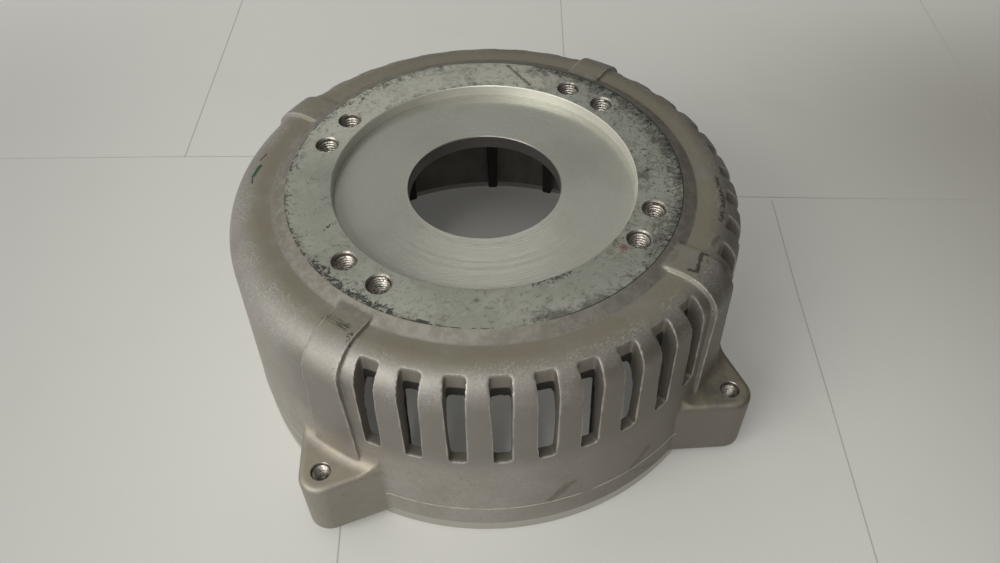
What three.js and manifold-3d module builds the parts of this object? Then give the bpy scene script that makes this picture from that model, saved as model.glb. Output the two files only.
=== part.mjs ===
// Vented bell housing: a drum-shaped aluminium end bell with a machined mounting ring, a pilot
// recess and a bore on top, air slots on three sides, four foot lugs and wire thread inserts.
// Millimetres, +Z up. The origin is the centre of the open base face, on the bell's axis.
// The lugs' feet lie above that face, so that the base forms a short spigot below them.
// The slotted sides face +X, +Y and -Y, and the plain side faces -X.
import * as THREE from 'three';
import { mergeVertices } from 'three/addons/utils/BufferGeometryUtils.js';
import Module from 'manifold-3d';

// ---- driving dimensions ----

const HEIGHT = 115;             // base face to the machined ring
const BASE_R = 126;             // turned band round the open end
const BAND_H = 21.5;            // height of that band
const BAND_STEP = 0.6;          // the cast wall stands this much outside the band
const WALL_TOP_R = 124;         // cast wall where the shoulder begins
const SHOULDER_Z = 97.5;
const SHOULDER_TOP_R = 107;     // inner end of the shoulder's curve
const CROWN_Z = 112.4;          // flat crown between the shoulder and the ring
const SKIRT_R = 101.5;          // foot of the ring's cast skirt
const RING_R = 95;              // outer edge of the machined ring
const PILOT_R = 73.025;         // pilot recess, 146.05 mm across
const PILOT_DEPTH = 5.6;
const BORE_R = 37;
const UNDERSIDE_Z = 102;        // underside of the top plate

const INNER_TOP_R = 119;        // inside of the wall under the shoulder
const INNER_BASE_R = 121;       // inside of the wall above the register
const INNER_FILLET = 23;
const REGISTER_R = 122;         // turned register in the open end
const REGISTER_DEPTH = 5;

const QUARTER_ANGLES = [45, 135, 225, 315];   // strips and lugs stand at these angles
const STRIP_TOP_W = 17;          // width of a strip on the crown
const STRIP_SPREAD = 0.06;       // how far each side leans outwards for each millimetre down from there
const STRIP_RISE_BASE = 1.8;    // how far a strip stands proud of the wall near the lug
const STRIP_RISE_CORNER = 2.8;  // of the shoulder's outermost point
const STRIP_RISE_CROWN = 1.8;   // and of the crown
const STRIP_END_R = 98.5;       // where a strip runs into the ring's skirt
const STRIP_BURIED = 2;         // how deep the strip blanks sink into the shell

const LUG_HOLE_PCR = 139.5;     // radius of the circle through the lug holes
const LUG_TIP_R = 10.5;         // rounding of a lug's tip, about its hole
const LUG_ROOT_R = 118;         // where the lug's sides run into the wall
const LUG_ROOT_HALF = 28.5;     // half width of the lug there
const LUG_FOOT_Z = 7;           // the feet stand this far above the base face
const LUG_TOP_Z = 42;
const LUG_FILLET = 7;           // concave blend from the lug's top into the wall
const LUG_HOLE_R = 4.5;

const SLOT_SIDES = [0, 90, 270];   // directions of the slotted sides
const SLOTS_PER_SIDE = 9;
const SLOT_PITCH = 8.93;        // degrees
const SLOT_BOTTOM_Z = 60.2;
const SLOT_END_R = 115.2;       // radius of the slots' upright upper end
const SLOT_TOP_W = 9.2;
const SLOT_BOTTOM_W = 7.7;
const SLOT_CORNER = 1.2;        // chamfer of the slots' lower corners

const RIB_OFFSETS = [-3.5, -1.5, 1.5, 3.5];   // in slot pitches from each side's middle
const RIB_SIDES = [0, 90, 180, 270];
const RIB_BOTTOM_W = 5.6;
const RIB_TOP_W = 8;
const RIB_INNER_R = 115;        // the ribs' inner faces at the register
const RIB_LEAN = 3;             // and how much closer to the axis they are at the top
const RIB_ROOT_FLARE = 0.6;     // widening of each flank towards the wall
const RIB_BURIED = 3.2;         // the ribs' roots lie this deep below the wall's outside

const RING_HOLE_PCR = 82.55;    // ring holes on a 165.1 mm circle
const RING_HOLE_ANGLES = [30, 45, 135, 150, 210, 225, 315, 330];
const RING_HOLE_R = 5.3;

const INSERT_GAP = 0.3;
const RING_INSERT_WIRE = 0.9;   // radial thickness of the coil
const RING_INSERT_L = 11.5;
const LUG_INSERT_WIRE = 0.8;
const LUG_INSERT_L = 16;
const INSERT_SINK = 0.4;        // the inserts stop this far below the face

const BEYOND = 20;              // how far the cutting bodies reach past the metal
const ROUND_STEPS = 96;         // facets round the bell
const HOLE_STEPS = 20;

const castAluminium = new THREE.MeshStandardMaterial({ color: 0x9d988e, roughness: 0.55, metalness: 0.85 });
const coilSteel = new THREE.MeshStandardMaterial({ color: 0xc8c2ae, roughness: 0.22, metalness: 1.0 });

const wasm = await Module();
wasm.setup();

// ---- helpers ----

const rad = THREE.MathUtils.degToRad;

function toSolid(geometry) {
  const bare = geometry.clone();
  bare.deleteAttribute('normal');
  bare.deleteAttribute('uv');
  const merged = mergeVertices(bare, 1e-4);
  return new wasm.Manifold(new wasm.Mesh({
    numProp: 3,
    vertProperties: new Float32Array(merged.attributes.position.array),
    triVerts: new Uint32Array(merged.index.array),
  }));
}

function toGeometry(solid) {
  const mesh = solid.getMesh();
  const geometry = new THREE.BufferGeometry();
  geometry.setAttribute('position', new THREE.BufferAttribute(new Float32Array(mesh.vertProperties), 3));
  geometry.setIndex(new THREE.BufferAttribute(new Uint32Array(mesh.triVerts), 1));
  geometry.computeVertexNormals();
  return geometry;
}

// A closed outline of [radius, height] points, turned about the Z axis.
function turned(outline, steps) {
  const points = outline.map(([r, z]) => new THREE.Vector2(r, z));
  points.push(points[0].clone());
  const geometry = new THREE.LatheGeometry(points, steps);
  geometry.rotateX(Math.PI / 2);
  return geometry;
}

// An outline of [x, y] points, standing from z0 to z1.
function upright(outline, z0, z1) {
  const shape = new THREE.Shape(outline.map(([x, y]) => new THREE.Vector2(x, y)));
  const geometry = new THREE.ExtrudeGeometry(shape, { depth: z1 - z0, bevelEnabled: false });
  geometry.translate(0, 0, z0);
  return geometry;
}

// A straight round hole or plug standing from z0 to z1 at an angle on a circle.
function roundPlug(radius, pitchRadius, angle, z0, z1) {
  const geometry = new THREE.CylinderGeometry(radius, radius, z1 - z0, HOLE_STEPS);
  geometry.rotateX(Math.PI / 2);
  geometry.translate(pitchRadius * Math.cos(rad(angle)), pitchRadius * Math.sin(rad(angle)), (z0 + z1) / 2);
  return geometry;
}

// An eight-cornered block between two four-cornered plans of [x, y] points.
function block(low, lowZ, high, highZ) {
  const corners = [
    ...low.map(([x, y]) => [x, y, lowZ]),
    ...high.map(([x, y]) => [x, y, highZ]),
  ];
  const faces = [
    [0, 2, 1], [0, 3, 2], [4, 5, 6], [4, 6, 7],
    [0, 1, 5], [0, 5, 4], [1, 2, 6], [1, 6, 5],
    [2, 3, 7], [2, 7, 6], [3, 0, 4], [3, 4, 7],
  ];
  const geometry = new THREE.BufferGeometry();
  geometry.setAttribute('position', new THREE.Float32BufferAttribute(corners.flat(), 3));
  geometry.setIndex(faces.flat());
  return geometry;
}

function turnedTo(geometry, angle) {
  return geometry.clone().rotateZ(rad(angle));
}

// Points of an arc about [cx, cy], both ends included.
function arc(cx, cy, rx, ry, from, to, steps) {
  const points = [];
  for (let i = 0; i <= steps; i += 1) {
    const a = rad(from + (to - from) * i / steps);
    points.push([cx + rx * Math.cos(a), cy + ry * Math.sin(a)]);
  }
  return points;
}

// ---- the shell ----

const wallR = (z) => {
  const foot = BASE_R + BAND_STEP;
  return foot + (WALL_TOP_R - foot) * (z - BAND_H) / (SHOULDER_Z - BAND_H);
};

// The shoulder's elliptical curve, from the wall up to the crown, grown outwards and upwards.
function shoulder(out, up, steps) {
  return arc(SHOULDER_TOP_R, SHOULDER_Z, WALL_TOP_R - SHOULDER_TOP_R + out,
    CROWN_Z - SHOULDER_Z + up, 0, 90, steps);
}

function shellOutline() {
  const innerCentre = [INNER_TOP_R - INNER_FILLET, UNDERSIDE_Z - INNER_FILLET];
  return [
    [REGISTER_R, 0],
    [BASE_R, 0],
    [BASE_R, BAND_H],
    [BASE_R + BAND_STEP, BAND_H + BAND_STEP],
    ...shoulder(0, 0, 7),
    [SKIRT_R, CROWN_Z],
    [RING_R, HEIGHT],
    [PILOT_R, HEIGHT],
    [PILOT_R, HEIGHT - PILOT_DEPTH],
    [BORE_R, HEIGHT - PILOT_DEPTH],
    [BORE_R, UNDERSIDE_Z],
    ...arc(innerCentre[0], innerCentre[1], INNER_FILLET, INNER_FILLET, 90, 0, 7),
    [INNER_BASE_R, REGISTER_DEPTH],
    [REGISTER_R, REGISTER_DEPTH],
  ];
}

// ---- raised strips over the shoulder ----

function stripBand() {
  const wall = wallR(BAND_H);
  return turned([
    [wall - STRIP_BURIED, LUG_FOOT_Z + 1],
    [wall + STRIP_RISE_BASE, LUG_FOOT_Z + 1],
    [wall + STRIP_RISE_BASE, BAND_H],
    ...shoulder(STRIP_RISE_CORNER, STRIP_RISE_CROWN, 7),
    [STRIP_END_R, CROWN_Z + STRIP_RISE_CROWN - 0.2],
    [STRIP_END_R, CROWN_Z - STRIP_BURIED],
    ...shoulder(-STRIP_BURIED, -STRIP_BURIED, 5).reverse(),
  ], ROUND_STEPS);
}

// The space of one strip about +X: its sides run level on the crown and spread towards the lug.
function stripSpace() {
  const top = CROWN_Z + STRIP_RISE_CROWN;
  const section = (z) => {
    const half = STRIP_TOP_W / 2 + STRIP_SPREAD * (top - z);
    const near = STRIP_END_R - BEYOND;
    const far = WALL_TOP_R + BEYOND;
    return [[far, -half], [far, half], [near, half], [near, -half]];
  };
  return block(section(0), 0, section(HEIGHT), HEIGHT);
}

// ---- foot lugs ----

// Plan of one lug, pointing along +X: two straight sides run from the wall to a round tip.
function lugPlan() {
  const dx = LUG_HOLE_PCR - LUG_ROOT_R;
  const reach = Math.hypot(dx, LUG_ROOT_HALF);
  const lean = Math.atan2(LUG_ROOT_HALF, dx);
  const touch = Math.acos(LUG_TIP_R / reach);
  const end = 180 - THREE.MathUtils.radToDeg(lean + touch);
  return [
    [LUG_ROOT_R, -LUG_ROOT_HALF],
    ...arc(LUG_HOLE_PCR, 0, LUG_TIP_R, LUG_TIP_R, -end, end, 8),
    [LUG_ROOT_R, LUG_ROOT_HALF],
  ];
}

// The lugs' height: flat feet, a level top, and a concave blend from there up the wall.
function lugHeight() {
  const blendR = wallR(LUG_TOP_Z) + LUG_FILLET;
  const root = REGISTER_R + 0.6;
  const far = LUG_HOLE_PCR + BEYOND;
  return turned([
    [root, LUG_FOOT_Z],
    [far, LUG_FOOT_Z],
    [far, LUG_TOP_Z],
    ...arc(blendR, LUG_TOP_Z + LUG_FILLET, LUG_FILLET, LUG_FILLET, 270, 190, 4),
    [root, LUG_TOP_Z + LUG_FILLET],
  ], ROUND_STEPS);
}

// ---- air slots ----

// One slot cutter, pointing along +X: its sides close in towards the bottom.
function slotCutter() {
  const top = HEIGHT + BEYOND;
  const flare = (SLOT_TOP_W - SLOT_BOTTOM_W) / (CROWN_Z - SLOT_BOTTOM_Z);
  const halfAt = (z) => (SLOT_BOTTOM_W + flare * (z - SLOT_BOTTOM_Z)) / 2;
  const low = halfAt(SLOT_BOTTOM_Z);
  const shape = new THREE.Shape([
    [-low + SLOT_CORNER, SLOT_BOTTOM_Z],
    [low - SLOT_CORNER, SLOT_BOTTOM_Z],
    [low, SLOT_BOTTOM_Z + SLOT_CORNER],
    [halfAt(top), top],
    [-halfAt(top), top],
    [-low, SLOT_BOTTOM_Z + SLOT_CORNER],
  ].map(([y, z]) => new THREE.Vector2(y, z)));
  const geometry = new THREE.ExtrudeGeometry(shape, { depth: BEYOND, bevelEnabled: false });
  geometry.rotateX(Math.PI / 2);
  geometry.rotateZ(Math.PI / 2);
  geometry.translate(SLOT_END_R, 0, 0);
  return geometry;
}

function slotAngles() {
  const middle = (SLOTS_PER_SIDE - 1) / 2;
  const offsets = Array.from({ length: SLOTS_PER_SIDE }, (_, i) => (i - middle) * SLOT_PITCH);
  return SLOT_SIDES.flatMap((side) => offsets.map((offset) => side + offset));
}

// ---- inner ribs ----

// One rib blank along +X: an eight-cornered block, wider and deeper at its upper end.
function ribBlank() {
  const root = wallR(BAND_H) - RIB_BURIED;
  const section = (width, innerR) => {
    const half = width / 2;
    const rootHalf = half + RIB_ROOT_FLARE;
    return [[root, -rootHalf], [root, rootHalf], [innerR, half], [innerR, -half]];
  };
  const low = section(RIB_BOTTOM_W, RIB_INNER_R);
  const high = section(RIB_TOP_W, RIB_INNER_R - RIB_LEAN);
  return block(low, REGISTER_DEPTH, high, UNDERSIDE_Z + 1);
}

// The room the ribs may fill: it stops inside the shell's own skin, so that no rib shows outside.
function ribRoom() {
  const skin = 3;
  return turned([
    [RING_R, REGISTER_DEPTH],
    [INNER_BASE_R + 2, REGISTER_DEPTH],
    ...shoulder(-skin, -skin, 5),
    [RING_R, CROWN_Z - skin],
  ], ROUND_STEPS);
}

// ---- the casting ----

function union(geometries) {
  return geometries.map(toSolid).reduce((all, next) => all.add(next));
}

function buildCasting() {
  const shell = toSolid(turned(shellOutline(), ROUND_STEPS));
  const stripSpaces = union(QUARTER_ANGLES.map((angle) => turnedTo(stripSpace(), angle)));
  const strips = toSolid(stripBand()).intersect(stripSpaces);
  const lugPlans = union(QUARTER_ANGLES.map((angle) => turnedTo(upright(lugPlan(), 0, HEIGHT), angle)));
  const lugs = toSolid(lugHeight()).intersect(lugPlans);
  const ribAngles = RIB_SIDES.flatMap((side) => RIB_OFFSETS.map((offset) => side + offset * SLOT_PITCH));
  const ribs = union(ribAngles.map((angle) => turnedTo(ribBlank(), angle))).intersect(toSolid(ribRoom()));
  const slots = union(slotAngles().map((angle) => turnedTo(slotCutter(), angle)));
  const ringHoles = union(RING_HOLE_ANGLES.map((angle) => (
    roundPlug(RING_HOLE_R, RING_HOLE_PCR, angle, UNDERSIDE_Z - BEYOND, HEIGHT + BEYOND))));
  const lugHoles = union(QUARTER_ANGLES.map((angle) => (
    roundPlug(LUG_HOLE_R, LUG_HOLE_PCR, angle, -BEYOND, LUG_TOP_Z + BEYOND))));
  return shell
    .add(strips)
    .add(lugs)
    .add(ribs)
    .subtract(slots)
    .subtract(ringHoles)
    .subtract(lugHoles);
}

// ---- thread inserts ----

function insertSleeve(holeR, wire, length) {
  const outer = holeR - INSERT_GAP;
  return turned([[outer - wire, -length], [outer, -length], [outer, 0], [outer - wire, 0]], HOLE_STEPS);
}

const housing = new THREE.Group();

function addPiece(name, geometry, material, x = 0, y = 0, z = 0) {
  const mesh = new THREE.Mesh(geometry, material);
  mesh.name = name;
  mesh.position.set(x, y, z);
  housing.add(mesh);
}

function addInserts(label, angles, pitchRadius, geometry, top) {
  angles.forEach((angle, i) => {
    const x = pitchRadius * Math.cos(rad(angle));
    const y = pitchRadius * Math.sin(rad(angle));
    addPiece(`${label}_${i + 1}`, geometry, coilSteel, x, y, top - INSERT_SINK);
  });
}

addPiece('bell_housing', toGeometry(buildCasting()), castAluminium);
addInserts('flange_insert', RING_HOLE_ANGLES, RING_HOLE_PCR,
  insertSleeve(RING_HOLE_R, RING_INSERT_WIRE, RING_INSERT_L), HEIGHT);
addInserts('lug_insert', QUARTER_ANGLES, LUG_HOLE_PCR,
  insertSleeve(LUG_HOLE_R, LUG_INSERT_WIRE, LUG_INSERT_L), LUG_TOP_Z);

export default housing;
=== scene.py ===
import math
import random

import bmesh
import bpy
import numpy as np
from mathutils import Matrix, Vector


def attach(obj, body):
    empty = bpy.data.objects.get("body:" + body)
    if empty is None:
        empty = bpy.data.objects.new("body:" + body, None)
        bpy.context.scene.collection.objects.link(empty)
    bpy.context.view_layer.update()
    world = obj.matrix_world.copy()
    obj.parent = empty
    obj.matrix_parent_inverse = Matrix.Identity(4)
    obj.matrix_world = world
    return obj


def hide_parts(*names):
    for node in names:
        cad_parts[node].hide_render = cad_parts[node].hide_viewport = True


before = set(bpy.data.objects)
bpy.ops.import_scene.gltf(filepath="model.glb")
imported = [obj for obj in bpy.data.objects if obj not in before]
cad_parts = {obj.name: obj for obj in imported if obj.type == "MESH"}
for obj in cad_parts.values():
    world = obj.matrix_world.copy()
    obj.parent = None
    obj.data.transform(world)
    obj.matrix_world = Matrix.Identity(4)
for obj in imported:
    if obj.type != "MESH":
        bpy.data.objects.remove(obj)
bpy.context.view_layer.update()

# A bare vented bell housing: a cast aluminium drum with a machined ring, pilot recess and bore on
# its closed end, air slots on three sides, four foot lugs, and wire thread inserts in its holes.
# Lengths are written in millimetres and turned into metres where a mesh is made.

MM = 0.001

# ---- shape of the casting, in the frame of the CAD part ----

HEIGHT = 115.0
BASE_R = 126.0
PARTING_Z = 21.5            # the mould's parting line round the wall
PARTING_R = 126.25
PARTING_RIDGE = 0.35
WALL_TOP_R = 124.0
SHOULDER_Z = 97.5
SHOULDER_TOP_R = 107.0
CROWN_Z = 112.4
SKIRT_R = 101.5
RING_R = 95.0
PILOT_R = 73.025
PILOT_FLOOR_Z = 109.4
BORE_R = 37.0
UNDERSIDE_Z = 102.0
INNER_TOP_R = 119.0
INNER_BASE_R = 121.0
INNER_FILLET = 23.0
REGISTER_R = 122.0
REGISTER_DEPTH = 5.0
SPIGOT_R = 125.75
SPIGOT_CHAMFER = 0.5
FOOT_Z = 7.0

# Metal left on the casting for the machining to take off.
RING_STOCK = 1.2
BORE_STOCK = 2.0
BASE_STOCK = 4.0

QUARTERS = (45, 135, 225, 315)
STRIP_TOP_W = 17.0
STRIP_SPREAD = 0.06         # how far each side leans outwards for each millimetre down
STRIP_RISE_BASE = 1.8
STRIP_RISE_CORNER = 2.8
STRIP_RISE_CROWN = 1.8
STRIP_END_R = 98.5
STRIP_BURIED = 2.0          # how deep a strip reaches into the wall

LUG_PCR = 139.5
LUG_TIP_R = 10.5
LUG_ROOT_R = 118.0
LUG_ROOT_HALF = 28.5
LUG_TOP_Z = 42.0
LUG_FILLET = 7.5
LUG_EDGE = 3.2              # rounding of the lugs' upper edge
LUG_HOLE_R = 4.5

SLOT_SIDES = (0, 90, 270)
SLOTS_PER_SIDE = 9
SLOT_PITCH = 8.93           # degrees
SLOT_BOTTOM_Z = 60.2
SLOT_END_R = 115.2
SLOT_TOP_W = 9.2
SLOT_BOTTOM_W = 7.7
SLOT_CORNER = 1.8
SLOT_PART_Z = 102.0         # below this the slots' end faces were drawn by the inner core
SLOT_CORE_DRAFT = 0.2

RIB_OFFSETS = (-3.5, -1.5, 1.5, 3.5)    # in slot pitches
RIB_SIDES = (0, 90, 180, 270)
RIB_BOTTOM_W = 5.6
RIB_TOP_W = 8.0
RIB_ROOT_SPREAD = 0.6       # how much wider each side is where a rib meets the wall
RIB_ROOT_DEPTH = 3.4        # how deep in the wall a rib has its root
RIB_INNER_R = 115.0
RIB_LEAN = 3.0
RIB_COVER = 3.0             # wall left outside a rib

RING_HOLE_PCR = 82.55
RING_HOLE_ANGLES = (30, 45, 135, 150, 210, 225, 315, 330)
RING_HOLE_R = 5.3

VOXEL = 0.65
FINE_STEPS = 360            # in a full turn of a large round
HOLE_STEPS = 48             # in a full turn of a small one
SHOULDER_STEPS = 28
BURIED_STEPS = 16           # in the shoulder's curve where it is hidden
BEYOND = 20.0               # how far a space or a cutter reaches past what it works on
CUT_PAST = 10.0             # the same, for the cutters of the faced ends
SHARP_EDGE = 32             # degrees between faces that stay sharp


# ---- mesh helpers ----

def link(obj):
    bpy.context.scene.collection.objects.link(obj)
    return obj


def to_object(name, vertices, faces):
    mesh = bpy.data.meshes.new(name)
    mesh.from_pydata([(x * MM, y * MM, z * MM) for x, y, z in vertices], [], faces)
    bm = bmesh.new()
    bm.from_mesh(mesh)
    bmesh.ops.remove_doubles(bm, verts=bm.verts, dist=1e-7)
    bmesh.ops.recalc_face_normals(bm, faces=bm.faces)
    bm.to_mesh(mesh)
    bm.free()
    return link(bpy.data.objects.new(name, mesh))


def lathe(name, outline, steps=FINE_STEPS):
    """A closed outline of (radius, height) points, turned about Z."""
    vertices = []
    for i in range(steps):
        a = 2 * math.pi * i / steps
        vertices += [(r * math.cos(a), r * math.sin(a), z) for r, z in outline]
    count = len(outline)
    faces = []
    for i in range(steps):
        j = (i + 1) % steps
        for k in range(count):
            m = (k + 1) % count
            if outline[k][0] == 0 and outline[m][0] == 0:
                continue
            faces.append((i * count + k, j * count + k, j * count + m, i * count + m))
    return to_object(name, vertices, faces)


def loft(name, levels):
    """Closed outlines with the same number of 3D points, joined in order and capped at both ends."""
    count = len(levels[0])
    vertices = [p for level in levels for p in level]
    faces = [tuple(range(count)), tuple((len(levels) - 1) * count + k for k in range(count))]
    for i in range(len(levels) - 1):
        for k in range(count):
            m = (k + 1) % count
            faces.append((i * count + k, i * count + m, (i + 1) * count + m, (i + 1) * count + k))
    return to_object(name, vertices, faces)


def arc(cx, cy, rx, ry, start, end, steps):
    angles = [math.radians(start + (end - start) * i / steps) for i in range(steps + 1)]
    return [(cx + rx * math.cos(a), cy + ry * math.sin(a)) for a in angles]


def turned_to(obj, angle):
    obj.data.transform(Matrix.Rotation(math.radians(angle), 4, "Z"))
    return obj


def joined(name, objects):
    """One object from meshes that do not touch each other."""
    bm = bmesh.new()
    for obj in objects:
        bm.from_mesh(obj.data)
        bpy.data.objects.remove(obj)
    mesh = bpy.data.meshes.new(name)
    bm.to_mesh(mesh)
    bm.free()
    return link(bpy.data.objects.new(name, mesh))


def apply_modifiers(obj):
    depsgraph = bpy.context.evaluated_depsgraph_get()
    mesh = bpy.data.meshes.new_from_object(obj.evaluated_get(depsgraph))
    obj.modifiers.clear()
    obj.data = mesh
    return obj


def combine(target, tool, operation):
    modifier = target.modifiers.new("combine", "BOOLEAN")
    modifier.operation = operation
    modifier.solver = "MANIFOLD"
    modifier.object = tool
    apply_modifiers(target)
    bpy.data.objects.remove(tool)
    return target


# ---- the casting as it leaves the mould ----

def wall_r(z):
    return PARTING_R + (WALL_TOP_R - PARTING_R) * (z - PARTING_Z) / (SHOULDER_Z - PARTING_Z)


def shoulder(out, up, steps):
    """The curve from the wall to the crown, moved outwards and upwards."""
    return arc(SHOULDER_TOP_R, SHOULDER_Z, WALL_TOP_R - SHOULDER_TOP_R + out,
               CROWN_Z - SHOULDER_Z + up, 0, 90, steps)


def make_shell():
    core_r = BORE_R - BORE_STOCK
    skirt_slope = (HEIGHT - CROWN_Z) / (SKIRT_R - RING_R)
    outline = [(INNER_BASE_R, -BASE_STOCK), (BASE_R - 0.1, -BASE_STOCK), (BASE_R, 0)]
    outline += [(PARTING_R - 0.05, PARTING_Z - 0.6), (PARTING_R + PARTING_RIDGE, PARTING_Z)]
    outline += [(PARTING_R, PARTING_Z + 0.7)]
    outline += shoulder(0, 0, SHOULDER_STEPS)
    outline += [(SKIRT_R, CROWN_Z), (RING_R - RING_STOCK / skirt_slope, HEIGHT + RING_STOCK)]
    outline += [(core_r, HEIGHT + RING_STOCK), (core_r, UNDERSIDE_Z)]
    outline += arc(INNER_TOP_R - INNER_FILLET, UNDERSIDE_Z - INNER_FILLET,
                   INNER_FILLET, INNER_FILLET, 90, 0, 24)
    return lathe("bell_casting", outline)


def make_strips():
    wall = wall_r(PARTING_Z)
    foot = FOOT_Z + 2
    band = [(wall - STRIP_BURIED, foot), (wall + STRIP_RISE_BASE, foot)]
    band += [(wall + STRIP_RISE_BASE, PARTING_Z)]
    band += shoulder(STRIP_RISE_CORNER, STRIP_RISE_CROWN, SHOULDER_STEPS)
    band += [(STRIP_END_R, CROWN_Z + STRIP_RISE_CROWN - 0.1), (STRIP_END_R - 2, CROWN_Z - STRIP_BURIED)]
    band += list(reversed(shoulder(-STRIP_BURIED, -STRIP_BURIED, BURIED_STEPS)))
    strips = lathe("strips", band)
    near, far = STRIP_END_R - BEYOND, WALL_TOP_R + BEYOND
    levels = []
    for z in (0, HEIGHT):
        half = STRIP_TOP_W / 2 + STRIP_SPREAD * (CROWN_Z + STRIP_RISE_CROWN - z)
        levels.append([(near, -half, z), (far, -half, z), (far, half, z), (near, half, z)])
    spaces = [turned_to(loft("strip_space", levels), angle) for angle in QUARTERS]
    return combine(strips, joined("strip_spaces", spaces), "INTERSECT")


def lug_plan(inset):
    """Plan of a lug along +X, drawn in by an even margin."""
    reach = LUG_PCR - LUG_ROOT_R
    radius = LUG_TIP_R - inset
    distance = math.hypot(reach, LUG_ROOT_HALF)
    full_touch = math.degrees(math.atan2(LUG_ROOT_HALF, reach) + math.acos(LUG_TIP_R / distance))
    end = 180 - full_touch
    half = LUG_ROOT_HALF - inset / math.cos(math.radians(90 - end))
    tip = arc(LUG_PCR, 0, radius, radius, -end, end, 20)
    return [(LUG_ROOT_R, -half)] + tip + [(LUG_ROOT_R, half)]


def lug_prisms(name, sections):
    """A prism at each quarter, from sections of the lug's plan given by height and inset."""
    levels = [[(x, y, z) for x, y in lug_plan(inset)] for z, inset in sections]
    return joined(name, [turned_to(loft(name, levels), angle) for angle in QUARTERS])


def make_lugs():
    edge_steps = 6
    sections = [(FOOT_Z - 2, 0.0)]
    for i in range(edge_steps + 1):
        a = math.radians(90 * i / edge_steps)
        sections.append((LUG_TOP_Z - LUG_EDGE + LUG_EDGE * math.sin(a), LUG_EDGE * (1 - math.cos(a))))
    feet = lug_prisms("feet", sections)
    # A skirt round the wall that gives the lugs their concave blend, cut to the lugs' own plan.
    blend_r = wall_r(LUG_TOP_Z) + LUG_FILLET
    root = REGISTER_R + 0.5
    skirt = [(root, LUG_TOP_Z - 4), (blend_r, LUG_TOP_Z - 4)]
    skirt += arc(blend_r, LUG_TOP_Z + LUG_FILLET, LUG_FILLET, LUG_FILLET, 270, 185, 12)
    skirt += [(root, LUG_TOP_Z + LUG_FILLET)]
    inset = LUG_EDGE / 2
    plans = lug_prisms("plans", [(LUG_TOP_Z - 8, inset), (LUG_TOP_Z + 12, inset)])
    return combine(feet, combine(lathe("blend", skirt), plans, "INTERSECT"), "UNION")


def make_ribs():
    root = wall_r(PARTING_Z) - RIB_ROOT_DEPTH
    levels = []
    for z, width, inner in ((REGISTER_DEPTH, RIB_BOTTOM_W, RIB_INNER_R),
                            (UNDERSIDE_Z, RIB_TOP_W, RIB_INNER_R - RIB_LEAN)):
        half = width / 2
        wide = half + RIB_ROOT_SPREAD
        levels.append([(inner, -half, z), (root, -wide, z), (root, wide, z), (inner, half, z)])
    ribs = []
    for side in RIB_SIDES:
        ribs += [turned_to(loft("rib", levels), side + offset * SLOT_PITCH) for offset in RIB_OFFSETS]
    room = [(RING_R, REGISTER_DEPTH), (INNER_BASE_R + 2, REGISTER_DEPTH)]
    room += shoulder(-RIB_COVER, -RIB_COVER, BURIED_STEPS)
    room += [(RING_R, CROWN_Z - RIB_COVER)]
    return combine(joined("ribs", ribs), lathe("rib_room", room), "INTERSECT")


def slot_cutter(angle):
    """One slot along +X: its outline in the wall, met by its rounded end in plan."""
    top = HEIGHT + BEYOND
    flare = (SLOT_TOP_W - SLOT_BOTTOM_W) / (CROWN_Z - SLOT_BOTTOM_Z)
    low, high = SLOT_BOTTOM_W / 2, (SLOT_BOTTOM_W + flare * (top - SLOT_BOTTOM_Z)) / 2
    corner = SLOT_CORNER * 0.85
    front = arc(-low + corner, SLOT_BOTTOM_Z + corner, corner, corner, 180, 270, 5)
    front += arc(low - corner, SLOT_BOTTOM_Z + corner, corner, corner, 270, 360, 5)
    front += [(high, top), (-high, top)]
    outer_x = SLOT_END_R + BEYOND
    window = loft("window", [[(x, y, z) for y, z in front] for x in (SLOT_END_R - 12, outer_x)])
    half = SLOT_TOP_W / 2 + 0.05
    bottom = SLOT_BOTTOM_Z - 5
    drop = SLOT_CORE_DRAFT * (SLOT_PART_Z - bottom)
    levels = []
    for z, shift in ((bottom, -drop), (SLOT_PART_Z, 0), (top + 5, 0)):
        x = SLOT_END_R + shift
        plan = arc(x + SLOT_CORNER, -half + SLOT_CORNER, SLOT_CORNER, SLOT_CORNER, 270, 180, 5)
        plan += arc(x + SLOT_CORNER, half - SLOT_CORNER, SLOT_CORNER, SLOT_CORNER, 180, 90, 5)
        plan += [(outer_x + 5, half), (outer_x + 5, -half)]
        levels.append([(px, py, z) for px, py in plan])
    return turned_to(combine(window, loft("slot_end", levels), "INTERSECT"), angle)


def make_slots():
    middle = (SLOTS_PER_SIDE - 1) / 2
    cutters = []
    for side in SLOT_SIDES:
        cutters += [slot_cutter(side + (i - middle) * SLOT_PITCH) for i in range(SLOTS_PER_SIDE)]
    return joined("slots", cutters)


def as_cast():
    body = make_shell()
    for part in (make_strips(), make_lugs(), make_ribs()):
        combine(body, part, "UNION")
    combine(body, make_slots(), "DIFFERENCE")
    # An even mesh and one light smoothing give every edge the soft corner of a casting.
    remesh = body.modifiers.new("skin", "REMESH")
    remesh.mode = "VOXEL"
    remesh.voxel_size = VOXEL * MM
    smooth = body.modifiers.new("rounding", "SMOOTH")
    smooth.factor = 0.5
    smooth.iterations = 1
    return apply_modifiers(body)


# ---- what was machined afterwards ----

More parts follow.
